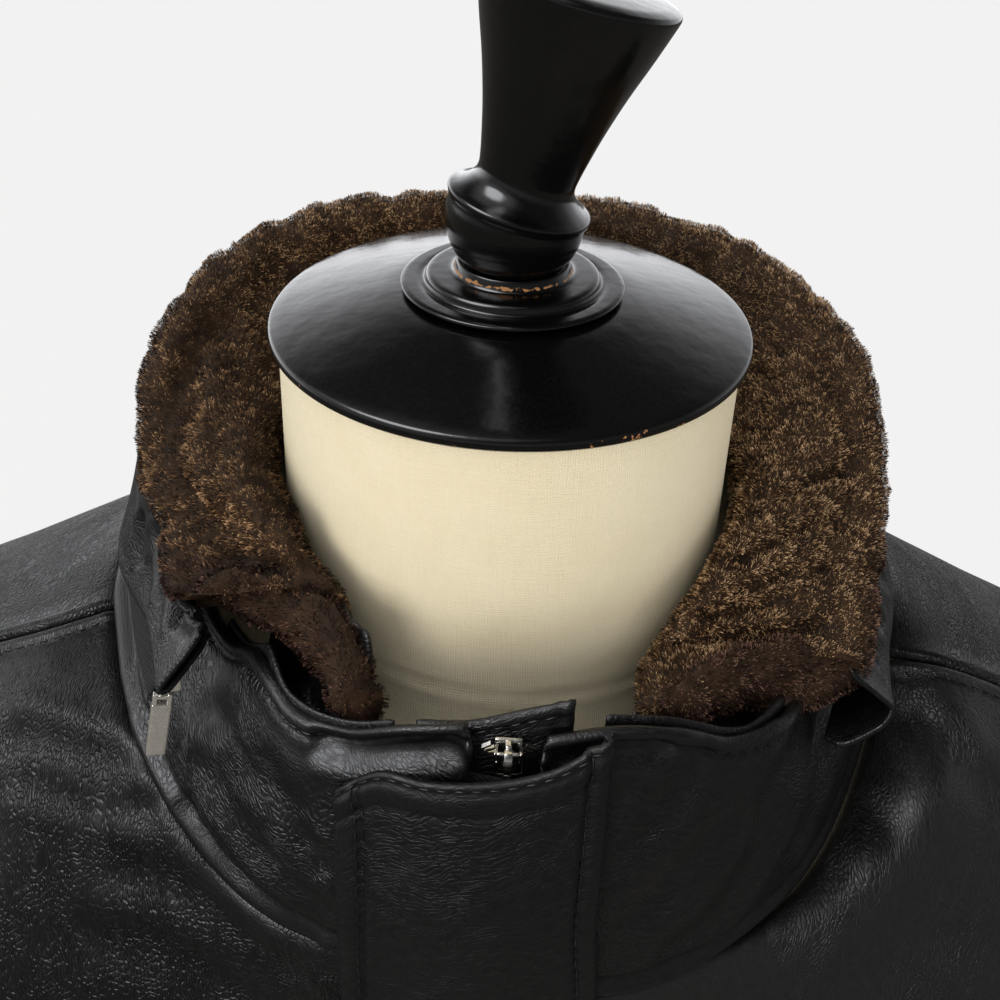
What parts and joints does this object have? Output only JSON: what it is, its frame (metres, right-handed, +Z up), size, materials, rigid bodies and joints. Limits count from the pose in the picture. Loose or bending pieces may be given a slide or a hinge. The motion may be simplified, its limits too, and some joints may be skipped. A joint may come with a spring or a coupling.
{
  "type": "leather jacket on a dress form",
  "caption": "Zipped jacket with a stand collar, storm placket and fur-lined outer collar, worn by a limbless dress form with a turned neck cap, pole and round base.",
  "frame": {"origin": "middle of the base's underside, on the floor", "axes": "+X to the viewer's right as in the picture, +Y to the jacket's back, +Z up along the pole"},
  "size_m": [0.634, 0.38, 1.5897],
  "materials": {
    "leather": "black grained leather, semi-matt with a soft sheen",
    "fur": "brown sheared fur, tan tips and dark partings",
    "linen": "cream plain-weave linen, stretched over the form",
    "lacquer": "turned wood in gloss black lacquer, worn at the edges",
    "metal": "bright nickel-plated zip metal",
    "zip_tape": "black woven zip tape",
    "iron": "black powder-coated steel"
  },
  "bodies": {
    "root": {"front_right": "leather", "front_left": "leather", "back": "leather", "sleeve_right": "leather", "sleeve_left": "leather", "stand_right": "leather", "stand_left": "leather", "facing_right": "leather", "facing_left": "leather", "collar_right": "leather", "collar_left": "leather", "fur_right": "fur", "fur_left": "fur", "placket": "leather", "zip_guard": "leather", "zip_tape": "zip_tape", "zip_teeth": "metal", "zip_slider": "metal", "zip_tab": "metal", "collar_zip_right": "zip_tape", "collar_zip_left": "zip_tape", "collar_slider": "metal", "form_torso": "linen", "form_board": "lacquer", "form_pole": "iron", "form_base": "iron", "neck_cap": "lacquer", "cap_ring": "lacquer", "finial": "lacquer"},
    "bar_pull": {"bar_pull": "metal"}
  },
  "joints": [
    {"name": "bar_pull_hinge", "type": "hinge", "parent": "root", "child": "bar_pull", "pos_m": [-0.088, -0.0652, 1.4164], "axis": [-0.931, -0.294, 0.2164], "range_deg": [0, 100]}
  ]
}
